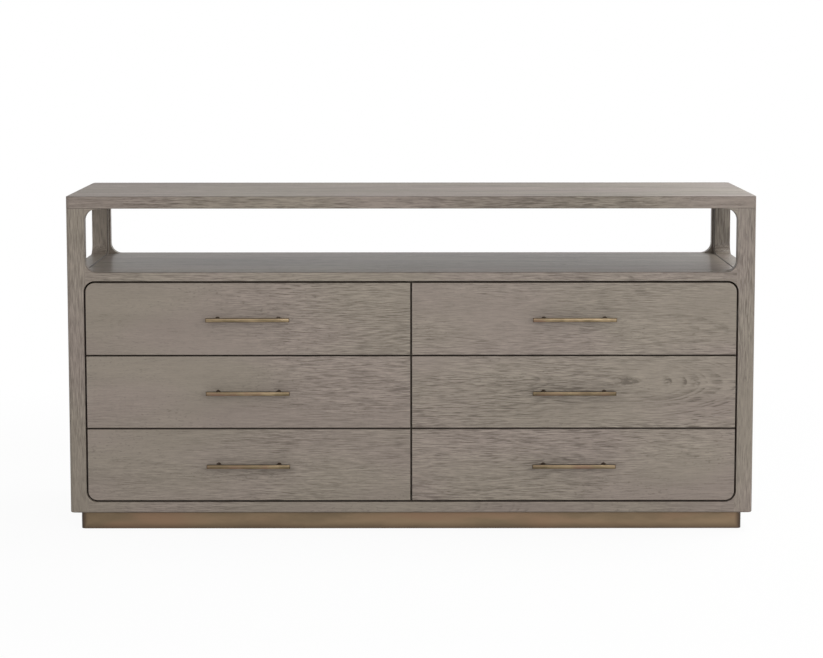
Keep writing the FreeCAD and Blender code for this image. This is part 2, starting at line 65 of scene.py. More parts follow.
def addNode(tree, kind, inputs=None, **settings):
    node = tree.nodes.new(kind)
    for name, setting in settings.items():
        setattr(node, name, setting)
    for name, entry in (inputs or {}).items():
        setSocket(tree, node.inputs[name], entry)
    return node


def calc(tree, operation, first, second=0.0, third=0.0, clamp=False):
    inputs = {0: first, 1: second, 2: third}
    return addNode(tree, "ShaderNodeMath", inputs, operation=operation, use_clamp=clamp).outputs[0]


def vectorCalc(tree, operation, first, second):
    return addNode(tree, "ShaderNodeVectorMath", {0: first, 1: second}, operation=operation).outputs[0]


def dot(tree, first, second):
    inputs = {0: first, 1: second}
    return addNode(tree, "ShaderNodeVectorMath", inputs, operation="DOT_PRODUCT").outputs["Value"]


def remap(tree, value, low, high, newLow=0.0, newHigh=1.0):
    inputs = {"Value": value, "From Min": low, "From Max": high, "To Min": newLow, "To Max": newHigh}
    return addNode(tree, "ShaderNodeMapRange", inputs, interpolation_type="SMOOTHSTEP").outputs["Result"]


def noise(tree, vector, stretch, detail=2.0, roughness=0.5):
    stretched = vectorCalc(tree, "MULTIPLY", vector, stretch)
    inputs = {"Vector": stretched, "Scale": 1.0, "Detail": detail, "Roughness": roughness}
    return addNode(tree, "ShaderNodeTexNoise", inputs).outputs["Fac"]


def mixNode(tree, dataType, ending, factor, first, second, blend="MIX"):
    node = addNode(tree, "ShaderNodeMix", data_type=dataType, blend_type=blend)
    entries = {"Factor_Float": factor, f"A_{ending}": first, f"B_{ending}": second}
    for socket in node.inputs:
        if socket.identifier in entries:
            setSocket(tree, socket, entries[socket.identifier])
    return [socket for socket in node.outputs if socket.identifier == f"Result_{ending}"][0]


def mixColour(tree, factor, first, second, blend="MIX"):
    return mixNode(tree, "RGBA", "Color", factor, first, second, blend)


def mixVector(tree, factor, first, second):
    return mixNode(tree, "VECTOR", "Vector", factor, first, second)


def newGroup(name, inputs, outputs):
    tree = bpy.data.node_groups.new(name, "ShaderNodeTree")
    for label, kind in inputs:
        tree.interface.new_socket(label, in_out="INPUT", socket_type="NodeSocket" + kind)
    for label, kind in outputs:
        tree.interface.new_socket(label, in_out="OUTPUT", socket_type="NodeSocket" + kind)
    entry = tree.nodes.new("NodeGroupInput")
    leave = tree.nodes.new("NodeGroupOutput")
    return tree, entry.outputs, leave.inputs


def placeGroup(tree, group, inputs):
    node = tree.nodes.new("ShaderNodeGroup")
    node.node_tree = group
    for name, entry in inputs.items():
        setSocket(tree, node.inputs[name], entry)
    return node.outputs


def newMaterial(name, colour):
    material = bpy.data.materials.new(name)
    material.use_nodes = True
    material.diffuse_color = (*colour[:3], 1.0)
    tree = material.node_tree
    shader = tree.nodes["Principled BSDF"]
    return material, tree, shader


def rgba(colour, factor=1.0):
    return (colour[0] * factor, colour[1] * factor, colour[2] * factor, 1.0)


# Wood grain: rings about a pith that climbs slowly past the face, so that their tips line up along the
# board, with dashes of open grain, fine fibres, ray flecks and pores

# Each noise: its cells in a metre along, across and into the board, then its detail and its roughness
grainNoise = {
    "bend": ((1.3, 1.6, 1.6), 2.0, 0.5),
    "ripple": ((8.0, 34.0, 34.0), 2.0, 0.5),
    "wander": ((1.1, 0.0, 0.0), 2.0, 0.5),
    "years": ((0.45, 0.0, 0.0), 1.0, 0.5),  # cells in a ring
    "broken": ((16.0, 130.0, 130.0), 2.0, 0.5),
    "patches": ((2.6, 9.0, 9.0), 2.0, 0.5),
    "lively": ((1.5, 4.5, 4.5), 1.0, 0.5),
    "dashes": ((22.0, 420.0, 420.0), 1.0, 0.5),
    "bright": ((24.0, 500.0, 500.0), 1.0, 0.5),
    "fibres": ((26.0, 520.0, 520.0), 3.0, 0.6),
    "blotches": ((1.7, 4.2, 4.2), 2.0, 0.5),
    "streaks": ((2.4, 24.0, 24.0), 2.0, 0.5),
    "flecks": ((85.0, 190.0, 190.0), 1.0, 0.5),
    "fleckPatches": ((3.4, 11.0, 11.0), 2.0, 0.5),
    "pores": ((90.0, 1900.0, 1900.0), 1.0, 0.5),
    "ragged": ((55.0, 150.0, 150.0), 3.0, 0.6),
    "tint": ((2.3, 5.0, 5.0), 1.0, 0.5),
}
# Levels of the noise where a mark starts and is full, and its strength at each where that isn't 0 and 1
grainLimits = {
    "broken": (0.40, 0.60),
    "patches": (0.40, 0.62, 0.25, 1.0),
    "lively": (0.36, 0.60, 0.35, 1.3),
    "dashes": (0.55, 0.70),
    "bright": (0.57, 0.72),
    "flecks": (0.60, 0.72),
    "fleckPatches": (0.50, 0.64),
    "pores": (0.56, 0.68),
    "ragged": (0.40, 0.58),
    "greenTint": (0.35, 0.65, 0.0, 0.5),
    "pinkTint": (0.6, 0.35, 0.0, 0.5),
}
grainShape = {
    "bend": 0.05,  # sways of the rings, in metres from one side to the other
    "ripple": 0.006,
    "wander": 0.11,
    "yearDrift": 3.0,  # rings
    "darkBand": (0.25, 0.85),  # shares of a ring where its dark band starts and is full
    "bandEdge": (1.0, 0.88),  # and where the next ring starts and the band is full again
    "heartWidth": (0.017, 0.002),  # distances from the pith, in metres, where the heart starts and is full
    "brightShift": (3.7, 1.9, 0.6),  # keeps the bright dashes off the dark ones
    "brightShare": 0.5,
    "tone": 0.66,  # between dark and light, before any mark
    "poresInBands": 0.75,
    "poresElsewhere": 0.25,
    "greenTint": (0.98, 1.0, 0.93, 1.0),
    "pinkTint": (1.0, 0.955, 0.985, 1.0),
    "poreRoughness": 0.2,
    "fibreRoughness": 0.12,
    "poreHeight": -0.6,
    "figureHeight": -0.3,
    "dashHeight": -0.3,
    "fibreHeight": 0.5,
}


def grainLevel(tree, spot, name):
    return noise(tree, spot, *grainNoise[name])


def grainSwing(tree, spot, name):
    return calc(tree, "SUBTRACT", grainLevel(tree, spot, name), 0.5)


def grainSway(tree, spot, name):
    width = grainShape[name]
    return calc(tree, "MULTIPLY_ADD", grainLevel(tree, spot, name), width, -width / 2)


def grainMark(tree, spot, name):
    return remap(tree, grainLevel(tree, spot, name), *grainLimits[name])


def darker(tree, level, mark, share):
    return calc(tree, "MULTIPLY_ADD", mark, calc(tree, "MULTIPLY", share, -1.0), level)


def makeGrainGroup():
    numbers = ("Ring Spacing", "Pith Depth", "Climb", "Figure", "Dashes", "Fibres", "Blotches", "Flecks",
               "Pores", "Streaks", "Heart", "Roughness")
    inputs = [("Vector", "Vector"), ("Light", "Color"), ("Dark", "Color"), ("Pore", "Color")]
    inputs += [(name, "Float") for name in numbers]
    outputs = [("Color", "Color"), ("Roughness", "Float"), ("Height", "Float")]
    tree, given, out = newGroup("woodGrain", inputs, outputs)
    spot = given["Vector"]
    parts = addNode(tree, "ShaderNodeSeparateXYZ", {0: spot}).outputs

    # rings
    across = calc(tree, "ADD", parts["Y"], grainSway(tree, spot, "bend"))
    across = calc(tree, "ADD", across, grainSway(tree, spot, "ripple"))
    climb = calc(tree, "MULTIPLY_ADD", parts["X"], given["Climb"], grainSway(tree, spot, "wander"))
    depth = calc(tree, "ADD", calc(tree, "ADD", parts["Z"], given["Pith Depth"]), climb)
    squares = calc(tree, "MULTIPLY_ADD", across, across, calc(tree, "MULTIPLY", depth, depth))
    radius = calc(tree, "DIVIDE", calc(tree, "SQRT", squares), given["Ring Spacing"])
    years = grainLevel(tree, addNode(tree, "ShaderNodeCombineXYZ", {0: radius}).outputs[0], "years")
    rings = calc(tree, "FRACT", calc(tree, "MULTIPLY_ADD", years, grainShape["yearDrift"], radius))
    bands = calc(tree, "MULTIPLY", remap(tree, rings, *grainShape["darkBand"]),
                 remap(tree, rings, *grainShape["bandEdge"]))
    patches = grainMark(tree, spot, "patches")
    figure = calc(tree, "MULTIPLY", calc(tree, "MULTIPLY", bands, grainMark(tree, spot, "broken")), patches)

    # marks
    dashes = grainMark(tree, spot, "dashes")
    bright = grainMark(tree, vectorCalc(tree, "ADD", spot, grainShape["brightShift"]), "bright")
    lively = grainMark(tree, spot, "lively")
    fibres = grainSwing(tree, spot, "fibres")
    blotches = grainSwing(tree, spot, "blotches")
    streaks = grainSwing(tree, spot, "streaks")
    flecks = calc(tree, "MULTIPLY", grainMark(tree, spot, "flecks"), grainMark(tree, spot, "fleckPatches"))
    poreShare = calc(tree, "MULTIPLY_ADD", figure, grainShape["poresInBands"], grainShape["poresElsewhere"])
    pores = calc(tree, "MULTIPLY", grainMark(tree, spot, "pores"), poreShare)
    nearPith = remap(tree, calc(tree, "ABSOLUTE", across), *grainShape["heartWidth"])
    heart = calc(tree, "MULTIPLY", calc(tree, "MULTIPLY", bands, nearPith), grainMark(tree, spot, "ragged"))

    # tone
    level = darker(tree, grainShape["tone"], figure, given["Figure"])
    level = darker(tree, level, heart, given["Heart"])
    dashTone = calc(tree, "SUBTRACT", calc(tree, "MULTIPLY", bright, grainShape["brightShare"]), dashes)
    dashShare = calc(tree, "MULTIPLY", given["Dashes"], calc(tree, "MULTIPLY", patches, lively))
    level = calc(tree, "MULTIPLY_ADD", dashTone, dashShare, level)
    level = calc(tree, "MULTIPLY_ADD", calc(tree, "MULTIPLY", fibres, lively), given["Fibres"], level)
    level = calc(tree, "MULTIPLY_ADD", streaks, given["Streaks"], level)
    level = darker(tree, level, flecks, given["Flecks"])
    level = calc(tree, "MULTIPLY_ADD", blotches, given["Blotches"], level, clamp=True)
    colour = mixColour(tree, level, given["Dark"], given["Light"])
    tint = grainLevel(tree, spot, "tint")
    for name in ("greenTint", "pinkTint"):
        strength = remap(tree, tint, *grainLimits[name])
        colour = mixColour(tree, strength, colour, grainShape[name], "MULTIPLY")
    colour = mixColour(tree, calc(tree, "MULTIPLY", pores, given["Pores"]), colour, given["Pore"])
    tree.links.new(colour, out["Color"])

    # roughness and height
    rough = calc(tree, "MULTIPLY_ADD", pores, grainShape["poreRoughness"], given["Roughness"])
    rough = calc(tree, "MULTIPLY_ADD", fibres, grainShape["fibreRoughness"], rough)
    tree.links.new(rough, out["Roughness"])
    height = calc(tree, "MULTIPLY", figure, grainShape["figureHeight"])
    height = calc(tree, "MULTIPLY_ADD", pores, grainShape["poreHeight"], height)
    height = calc(tree, "MULTIPLY_ADD", dashes, grainShape["dashHeight"], height)
    height = calc(tree, "MULTIPLY_ADD", fibres, grainShape["fibreHeight"], height)
    tree.links.new(height, out["Height"])
    return tree


# Wear along the edges of a board: the distance to its nearest edge, broken up by noise

edgeWear = {"cells": (34.0, 34.0, 34.0), "detail": 3.0, "limits": (0.4, 0.65)}


def makeWearGroup():
    inputs = [("Vector", "Vector"), ("Centre", "Vector"), ("Half Size", "Vector"), ("Width", "Float")]
    tree, given, out = newGroup("edgeWear", inputs, [("Mask", "Float")])
    spot = vectorCalc(tree, "SUBTRACT", given["Vector"], given["Centre"])
    away = addNode(tree, "ShaderNodeVectorMath", {0: spot}, operation="ABSOLUTE").outputs[0]
    inside = vectorCalc(tree, "SUBTRACT", given["Half Size"], away)
    parts = addNode(tree, "ShaderNodeSeparateXYZ", {0: inside}).outputs
    least = calc(tree, "MINIMUM", parts["X"], parts["Y"])
    most = calc(tree, "MAXIMUM", parts["X"], parts["Y"])
    middle = calc(tree, "MAXIMUM", least, calc(tree, "MINIMUM", most, parts["Z"]))
    near = calc(tree, "SUBTRACT", 1.0, calc(tree, "DIVIDE", middle, given["Width"]), clamp=True)
    specks = noise(tree, given["Vector"], edgeWear["cells"], edgeWear["detail"])
    rubbed = remap(tree, specks, *edgeWear["limits"])
    tree.links.new(calc(tree, "MULTIPLY", near, rubbed), out["Mask"])
    return tree


# Glaze and painted shade on the eased edges: faces that neither face the way of the board nor stand square to
# it, dark round the drawer opening, where the colour stands in for the shadow in the gaps, and fainter
# elsewhere

# Cosines of the angle to the board's face, where the glaze and painted shade start and are full: past the
# face, past its sides
edgeGlazeAndShade = {"pastFace": (0.9995, 0.985), "pastSides": (0.02, 0.2)}


def makeGlazeShadeGroup():
    inputs = [("Vector", "Vector"), ("Normal", "Vector"), ("Face", "Vector"), ("Centre", "Vector"),
              ("Half Size", "Vector"), ("Reveal", "Float"), ("Elsewhere", "Float"), ("Reach", "Float")]
    tree, given, out = newGroup("edgeGlazeAndShade", inputs, [("Mask", "Float")])
    square = calc(tree, "ABSOLUTE", dot(tree, given["Normal"], given["Face"]))
    eased = calc(tree, "MULTIPLY", remap(tree, square, *edgeGlazeAndShade["pastFace"]),
                 remap(tree, square, *edgeGlazeAndShade["pastSides"]))
    spot = vectorCalc(tree, "SUBTRACT", given["Vector"], given["Centre"])
    away = addNode(tree, "ShaderNodeVectorMath", {0: spot}, operation="ABSOLUTE").outputs[0]
    room = vectorCalc(tree, "SUBTRACT", given["Half Size"], away)
    inside = addNode(tree, "ShaderNodeSeparateXYZ", {0: room}).outputs
    reveal = calc(tree, "GREATER_THAN", calc(tree, "MINIMUM", inside["X"], inside["Z"]), 0.0)
    across = addNode(tree, "ShaderNodeSeparateXYZ", {0: away}).outputs["X"]
    near = calc(tree, "LESS_THAN", across, given["Reach"])
    strength = calc(tree, "MAXIMUM", calc(tree, "MULTIPLY", reveal, given["Reveal"]),
                    calc(tree, "MULTIPLY", near, given["Elsewhere"]))
    tree.links.new(calc(tree, "MULTIPLY", eased, strength), out["Mask"])
    return tree


# Patina: cloudy tone changes and fine drawn lines along X, for brass and steel

patina = {
    "clouds": (0.35, 1.2, 1.2),  # cells along, across and into the piece, times its cloud size
    "cloudDetail": (4.0, 0.6),
    "cloudLimits": (0.36, 0.64),
    "warmth": (0.25, 1.0, 0.8),
    "warmthLimits": (0.48, 0.66),
    "lines": (18.0, 2100.0, 2100.0),  # cells in a metre
    "cloudRoughness": -0.12,
    "lineRoughness": 0.2,
}


def makePatinaGroup():
    inputs = [("Vector", "Vector"), ("Clean", "Color"), ("Dull", "Color"), ("Warm", "Color"),
              ("Cloud Size", "Float"), ("Roughness", "Float")]
    outputs = [("Color", "Color"), ("Roughness", "Float"), ("Height", "Float")]
    tree, given, out = newGroup("patina", inputs, outputs)
    spot = addNode(tree, "ShaderNodeVectorMath", {0: given["Vector"], "Scale": given["Cloud Size"]},
                   operation="SCALE").outputs[0]
    clouds = noise(tree, spot, patina["clouds"], *patina["cloudDetail"])
    clouds = remap(tree, clouds, *patina["cloudLimits"])
    warmth = remap(tree, noise(tree, spot, patina["warmth"]), *patina["warmthLimits"])
    lines = calc(tree, "SUBTRACT", noise(tree, given["Vector"], patina["lines"]), 0.5)
    colour = mixColour(tree, clouds, given["Dull"], given["Clean"])
    colour = mixColour(tree, warmth, colour, given["Warm"])
    tree.links.new(colour, out["Color"])
    rough = calc(tree, "MULTIPLY_ADD", clouds, patina["cloudRoughness"], given["Roughness"])
    tree.links.new(calc(tree, "MULTIPLY_ADD", lines, patina["lineRoughness"], rough), out["Roughness"])
    tree.links.new(lines, out["Height"])
    return tree


grainGroup = makeGrainGroup()
wearGroup = makeWearGroup()
glazeShadeGroup = makeGlazeShadeGroup()
patinaGroup = makePatinaGroup()
print("effects ready")


# Boards: each has its own material, so that no two show the same piece of wood

evenMarks = (1.0, 1.0)
oak = {
    "light": (0.290, 0.249, 0.212),
    "dark": (0.128, 0.106, 0.088),
    "pore": (0.060, 0.047, 0.038),
    "worn": (0.33, 0.29, 0.25),
    # Colour of the edge glaze, which round the drawer opening is painted shade for the gaps
    "glazeAndShade": (0.017, 0.009, 0.004),
    "ringSpacing": 0.0055,
    "pithDepth": 0.012,
    "climb": 0.085,
    "figure": 0.34,
    "dashes": 0.6,
    "fibres": 2.3,
    "blotches": 0.35,
    "flecks": 0.3,
    "pores": 0.7,
    "streaks": 0.3,
    "heart": 0.0,
    "heartPlace": 0.0,  # middle of the stretch where the heart shows, from the middle of the board
    "heartReach": 0.15,
    "heartCore": 0.7,  # share of that reach where it shows in full
    "marked": evenMarks,  # strength of the marks at the two ends
    "turnFrom": 0.3,  # shares of the length between which it changes from one to the other
    "turnTo": 0.65,
    "drift": 0.28,  # how far the heart may lie from the middle of a board, as a share of half its width
    "roughness": 0.52,
    "specular": 0.15,
    "lacquer": 0.14,
    "lacquerRoughness": 0.2,
    "bump": 0.3,
    "bumpDepth": 0.0005,
    "wearWidth": 0.003,
    "wear": 0.12,
    "glazeShadeReveal": 1.0,
    "glazeShadeElsewhere": 0.5,
    "glazeShadeReach": 0.885,  # beyond it lies the rounded outer corner of the carcass, left without the glaze and painted edge shade
}
# What sets one board apart from the next: each is times the board's own number
boardStep = {
    "along": 4.1,
    "into": 0.002,
    "driftTurn": 7.3,
    "ringTurn": 2.9,
    "ringSpread": 0.2,
}
frontBoxes = [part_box(f"drawer_front_{name}") for name in drawerNames]
opening = {
    "low": Vector([min(low[axis] for low, high in frontBoxes) for axis in range(3)]),
    "high": Vector([max(high[axis] for low, high in frontBoxes) for axis in range(3)]),
    "rim": 0.0055,  # gap and eased edge round the bank of drawer fronts
}


# Turns object coordinates so that the grain runs along X and the way out of the face is Z
def grainVector(tree, spot, centre, grain, face, shift):
    turn = Matrix((grain, face.cross(grain), face))
    start = Vector(shift) - turn @ centre
    inputs = {"Vector": spot, "Location": start, "Rotation": turn.to_euler()}
    return addNode(tree, "ShaderNodeMapping", inputs).outputs["Vector"]


def boardVector(tree, spot, wood, node, grain, face, seed):
    low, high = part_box(node)
    width = abs(face.cross(grain).dot(high - low))
    drift = wood["drift"] * math.sin(boardStep["driftTurn"] * seed) * width / 2
    shift = (boardStep["along"] * seed, drift, boardStep["into"] * seed)
    return grainVector(tree, spot, (low + high) / 2, grain, face, shift)


def grainInputs(wood, vector, seed, tone):
    middle = boardStep["along"] * seed
    way = -1 if seed % 2 else 1
    climb = way * wood["climb"]
    spread = boardStep["ringSpread"] * math.sin(boardStep["ringTurn"] * seed)
    return {
        "Vector": vector,
        "Ring Spacing": wood["ringSpacing"] * (1 + spread),
        "Pith Depth": wood["pithDepth"] - climb * middle,
        "Climb": climb,
        "Figure": wood["figure"],
        "Dashes": wood["dashes"],
        "Fibres": wood["fibres"],
        "Blotches": wood["blotches"],
        "Flecks": wood["flecks"],
        "Pores": wood["pores"],
        "Streaks": wood["streaks"],
        "Heart": wood["heart"],
        "Light": rgba(wood["light"], tone),
        "Dark": rgba(wood["dark"], tone),
        "Pore": rgba(wood["pore"], tone),
        "Roughness": wood["roughness"],
    }


def finishBoard(tree, shader, wood, made, spot, node, face):
    low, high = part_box(node)
    wornInputs = {
        "Vector": spot,
        "Centre": (low + high) / 2,
        "Half Size": (high - low) / 2,
        "Width": wood["wearWidth"],
    }
    worn = calc(tree, "MULTIPLY", placeGroup(tree, wearGroup, wornInputs)["Mask"], wood["wear"])
    colour = mixColour(tree, worn, made["Color"], rgba(wood["worn"]))
    rim = Vector((opening["rim"], 0.0, opening["rim"]))
    glazeShadeInputs = {
        "Vector": spot,
        "Normal": addNode(tree, "ShaderNodeNewGeometry").outputs["Normal"],
        "Face": face,
        "Centre": (opening["low"] + opening["high"]) / 2,
        "Half Size": (opening["high"] - opening["low"]) / 2 + rim,
        "Reveal": wood["glazeShadeReveal"],
        "Elsewhere": wood["glazeShadeElsewhere"],
        "Reach": wood["glazeShadeReach"],
    }
    # Glaze and painted shade on the eased edges, darkest round the drawer opening where it stands in for the
    # gap shadows
    colour = mixColour(tree, placeGroup(tree, glazeShadeGroup, glazeShadeInputs)["Mask"], colour, rgba(wood["glazeAndShade"]))
    bump = addNode(tree, "ShaderNodeBump",
                   {"Strength": wood["bump"], "Distance": wood["bumpDepth"], "Height": made["Height"]})
    tree.links.new(colour, shader.inputs["Base Color"])
    tree.links.new(made["Roughness"], shader.inputs["Roughness"])
    tree.links.new(bump.outputs["Normal"], shader.inputs["Normal"])
    shader.inputs["Specular IOR Level"].default_value = wood["specular"]
    shader.inputs["Coat Weight"].default_value = wood["lacquer"]
    shader.inputs["Coat Roughness"].default_value = wood["lacquerRoughness"]


# Keeps the chain of ring tips to one stretch of the board
def heartMask(tree, spot, wood, node, grain):
    low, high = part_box(node)
    middle = grain.dot(low + high) / 2 + wood["heartPlace"]
    away = calc(tree, "ABSOLUTE", calc(tree, "SUBTRACT", dot(tree, spot, grain), middle))
    stretch = remap(tree, away, wood["heartReach"], wood["heartCore"] * wood["heartReach"])
    return calc(tree, "MULTIPLY", stretch, wood["heart"])


# How marked the grain is, from one end of a board to the other
def endToEnd(tree, spot, wood, node, grain):
    low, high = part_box(node)
    along = dot(tree, spot, grain)
    length = grain.dot(high - low)
    start = grain.dot(low) + wood["turnFrom"] * length
    end = grain.dot(low) + wood["turnTo"] * length
    return remap(tree, along, start, end, *wood["marked"])


def boardMaterial(node, wood, grain, face, seed, tone=1.0):
    material, tree, shader = newMaterial(f"{node}_wood", wood["light"])
    spot = addNode(tree, "ShaderNodeTexCoord").outputs["Object"]
    vector = boardVector(tree, spot, wood, node, grain, face, seed)
    inputs = grainInputs(wood, vector, seed, tone)
    if wood["heart"]:
        inputs["Heart"] = heartMask(tree, spot, wood, node, grain)
    if wood["marked"] != evenMarks:
        strength = endToEnd(tree, spot, wood, node, grain)
        for label, key in (("Fibres", "fibres"), ("Dashes", "dashes"), ("Figure", "figure")):
            inputs[label] = calc(tree, "MULTIPLY", strength, wood[key])
    made = placeGroup(tree, grainGroup, inputs)
    finishBoard(tree, shader, wood, made, spot, node, face)
    return material


def assign(node, material):
    mesh = nodes[node].data
    mesh.materials.clear()
    mesh.materials.append(material)


calmOak = dict(oak, figure=0.22, dashes=0.38)
topOak = dict(calmOak, dashes=0.55, fibres=2.6, streaks=1.2, blotches=0.8, lacquer=0.03, glazeShadeReach=1.0)
shelfOak = dict(oak, streaks=0.8, blotches=0.6, lacquer=0.2, lacquerRoughness=0.19)
sideOak = dict(oak, figure=0.36, glazeShadeElsewhere=0.85)
leftOak = dict(oak, figure=0.2, dashes=0.46)
frontOak = {
    "lower_left": dict(leftOak, marked=(0.65, 0.85)),
    "lower_right": dict(oak, marked=(1.25, 0.85)),
    "middle_left": dict(leftOak, marked=(0.4, 1.8)),
    "middle_right": dict(oak, marked=(0.95, 1.6), heart=0.95, heartPlace=0.2, drift=0.85, pithDepth=0.014,
                         climb=0.13, ringSpacing=0.0068),
    "upper_left": dict(leftOak, marked=(0.35, 1.15)),
    "upper_right": dict(oak, marked=(0.9, 0.95)),
}
# The last number of each board is its tone: the shelf's and the left side panel's are raised and the right
# side panel's lowered, painted light and shade for how the light reaches them
carcassBoards = {
    "top_panel": (topOak, alongX, alongZ, 0.9),
    "front_shelf_rail": (calmOak, alongX, -alongY, 1.0),
    "rear_shelf_rail": (calmOak, alongX, alongY, 1.0),
    "front_bottom_rail": (calmOak, alongX, -alongY, 0.97),
    "rear_bottom_rail": (calmOak, alongX, alongY, 0.97),
    "side_panel_left": (sideOak, alongZ, -alongX, 1.18),
    "side_panel_right": (sideOak, alongZ, alongX, 0.92),
    "shelf_panel": (shelfOak, alongX, alongZ, 1.1),
}
seeds = {name: number for number, name in enumerate(carcassBoards, 1)}
for name, (wood, grain, face, tone) in carcassBoards.items():
    assign(name, boardMaterial(name, wood, grain, face, seeds[name], tone))
seed = len(carcassBoards) + 1
for name in drawerNames:
    node = f"drawer_front_{name}"
    assign(node, boardMaterial(node, frontOak[name], alongX, -alongY, seed))
    seed += 1

stile = {
    "earLength": 0.036,  # how far an ear reaches from the edge of the opening
    # The rear-left stile is lightened and the rear-right darkened, painted light and shade for how much light
    # reaches each rear post
    "tones": {"front_left": 0.99, "front_right": 0.92, "rear_left": 1.12, "rear_right": 0.92},
}


# A stile's grain is upright, but its ears carry on the grain of the rail that each one meets
def stileMaterial(end, column, face, seed):
    node = f"{end}_stile_{column}"
    material, tree, shader = newMaterial(f"{node}_wood", oak["light"])
    spot = addNode(tree, "ShaderNodeTexCoord").outputs["Object"]
    parts = addNode(tree, "ShaderNodeSeparateXYZ", {0: spot}).outputs
    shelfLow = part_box(f"{end}_shelf_rail")[0]
    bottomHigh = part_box(f"{end}_bottom_rail")[1]
    upper = boardVector(tree, spot, calmOak, f"{end}_shelf_rail", alongX, face, seeds[f"{end}_shelf_rail"])
    lower = boardVector(tree, spot, calmOak, f"{end}_bottom_rail", alongX, face, seeds[f"{end}_bottom_rail"])
    low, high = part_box(node)
    edge = min(abs(low.x), abs(high.x)) + stile["earLength"]
    level = calc(tree, "GREATER_THAN", parts["Z"], (shelfLow.z + bottomHigh.z) / 2)
    ear = calc(tree, "LESS_THAN", calc(tree, "ABSOLUTE", parts["X"]), edge)
    upright = boardVector(tree, spot, calmOak, node, alongZ, face, seed)
    vector = mixVector(tree, ear, upright, mixVector(tree, level, lower, upper))
    made = placeGroup(tree, grainGroup, grainInputs(calmOak, vector, seed, stile["tones"][f"{end}_{column}"]))
    finishBoard(tree, shader, calmOak, made, spot, node, face)
    return material


for end, face in (("front", -alongY), ("rear", alongY)):
    for column in columns:
        assign(f"{end}_stile_{column}", stileMaterial(end, column, face, seed))
        seed += 1
print("oak boards finished")


# Inner boards of the carcass: grey-stained board, plainer than the outside

innerBoard = dict(oak, light=(0.250, 0.216, 0.184), dark=(0.155, 0.130, 0.108), figure=0.3, dashes=0.25,
                  roughness=0.62, lacquer=0.05, bump=0.2, wear=0.2, glazeShadeReveal=0.0, glazeShadeElsewhere=0.0)
for name, grain, face in (("back_panel", alongX, alongY), ("bottom_panel", alongX, alongZ),
                          ("centre_divider", alongY, alongX)):
    assign(name, boardMaterial(name, innerBoard, grain, face, seed))
    seed += 1

# Drawer boxes, plinth framing and dowels: pale hardwood under clear lacquer

paleWood = dict(oak, light=(0.56, 0.45, 0.325), dark=(0.40, 0.30, 0.20), pore=(0.26, 0.18, 0.11),
                worn=(0.6, 0.5, 0.38), figure=0.3, dashes=0.2, fibres=0.8, flecks=0.1, pores=0.35,
                roughness=0.42, bump=0.15, wear=0.3, glazeShadeReveal=0.0, glazeShadeElsewhere=0.0)
drawerBox = {
    "board": 0.014,  # thickness of its sides
    "sideShift": (0.0, 0.02),  # where the log is cut for the sides and for the ends: along and across it
    "endShift": (2.0, -0.01),
    "bottomTone": 0.95,
}


# A drawer box's side boards run front to back and its other two from left to right
def boxMaterial(node, seed):
    low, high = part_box(node)
    centre = (low + high) / 2
    material, tree, shader = newMaterial(f"{node}_wood", paleWood["light"])
    spot = addNode(tree, "ShaderNodeTexCoord").outputs["Object"]
    step = boardStep["along"] * seed
    along, wide = drawerBox["sideShift"]
    side = grainVector(tree, spot, centre, alongY, alongX, (step + along, wide, 0.0))
    along, wide = drawerBox["endShift"]
    end = grainVector(tree, spot, centre, alongX, alongY, (step + along, wide, 0.0))
    across = addNode(tree, "ShaderNodeSeparateXYZ", {0: spot}).outputs["X"]
    away = calc(tree, "ABSOLUTE", calc(tree, "SUBTRACT", across, centre.x))
    isSide = calc(tree, "GREATER_THAN", away, (high.x - low.x) / 2 - drawerBox["board"])
    made = placeGroup(tree, grainGroup, grainInputs(paleWood, mixVector(tree, isSide, end, side), seed, 1.0))
    finishBoard(tree, shader, paleWood, made, spot, node, alongY)
    return material


for name in drawerNames:
    node = f"drawer_box_{name}"
    assign(node, boxMaterial(node, seed))
    node = f"drawer_bottom_{name}"
    assign(node, boardMaterial(node, paleWood, alongX, alongZ, seed + 1, drawerBox["bottomTone"]))
    seed += 2
for name, grain, face in (("plinth_cross_rail", alongY, alongX), ("plinth_corner_blocks", alongZ, alongX),
                          ("top_dowels", alongZ, alongX)):
    assign(name, boardMaterial(name, paleWood, grain, face, seed))
    seed += 1
print("inner boards and drawer boxes finished")


# Metals and nylon. Shares run from -1 at the bottom or one end to 1 at the top or the other end

plinthBrass = {
    "clean": (0.207, 0.144, 0.085),
    "dull": (0.157, 0.111, 0.065),
    "warm": (0.208, 0.131, 0.079),
    # Colour of the painted shade: on the plinth under the carcass, along its foot and at its rounded ends
    "paintedShade": (0.035, 0.020, 0.012),
    "cloudSize": 14.0,
    "roughness": 0.5,
    "metallic": 0.6,
    "bump": 0.08,
    "bumpDepth": 0.0002,
    "topPaintedShade": (0.62, 1.05, 0.6),  # painted shadow under the carcass's overhang: share where it starts, share where it is full, strength
    "lowPaintedShade": (0.2, 1.2, 0.75),
    "endPaintedShade": (0.976, 0.998, 0.9),
    "paintedHighlight": 0.0,  # strength of the painted highlight on the upper half
    "paintedHighlightLimits": (0.0, 0.45),
    "paintedHighlightTone": 1.5,
}
pullBrass = dict(plinthBrass, clean=(0.235, 0.176, 0.106), dull=(0.132, 0.100, 0.058),
                 # On the bars the painted shade and dark reflection lie on their tops, undersides and ends,
                 # and on the posts behind them
                 warm=(0.190, 0.120, 0.082), cloudSize=60.0, roughness=0.5, metallic=0.9,
                 topPaintedShade=(0.74, 0.92, 0.9), lowPaintedShade=(0.62, 1.0, 0.75),
                 endPaintedShade=(0.975, 0.995, 0.8), paintedHighlight=0.35)
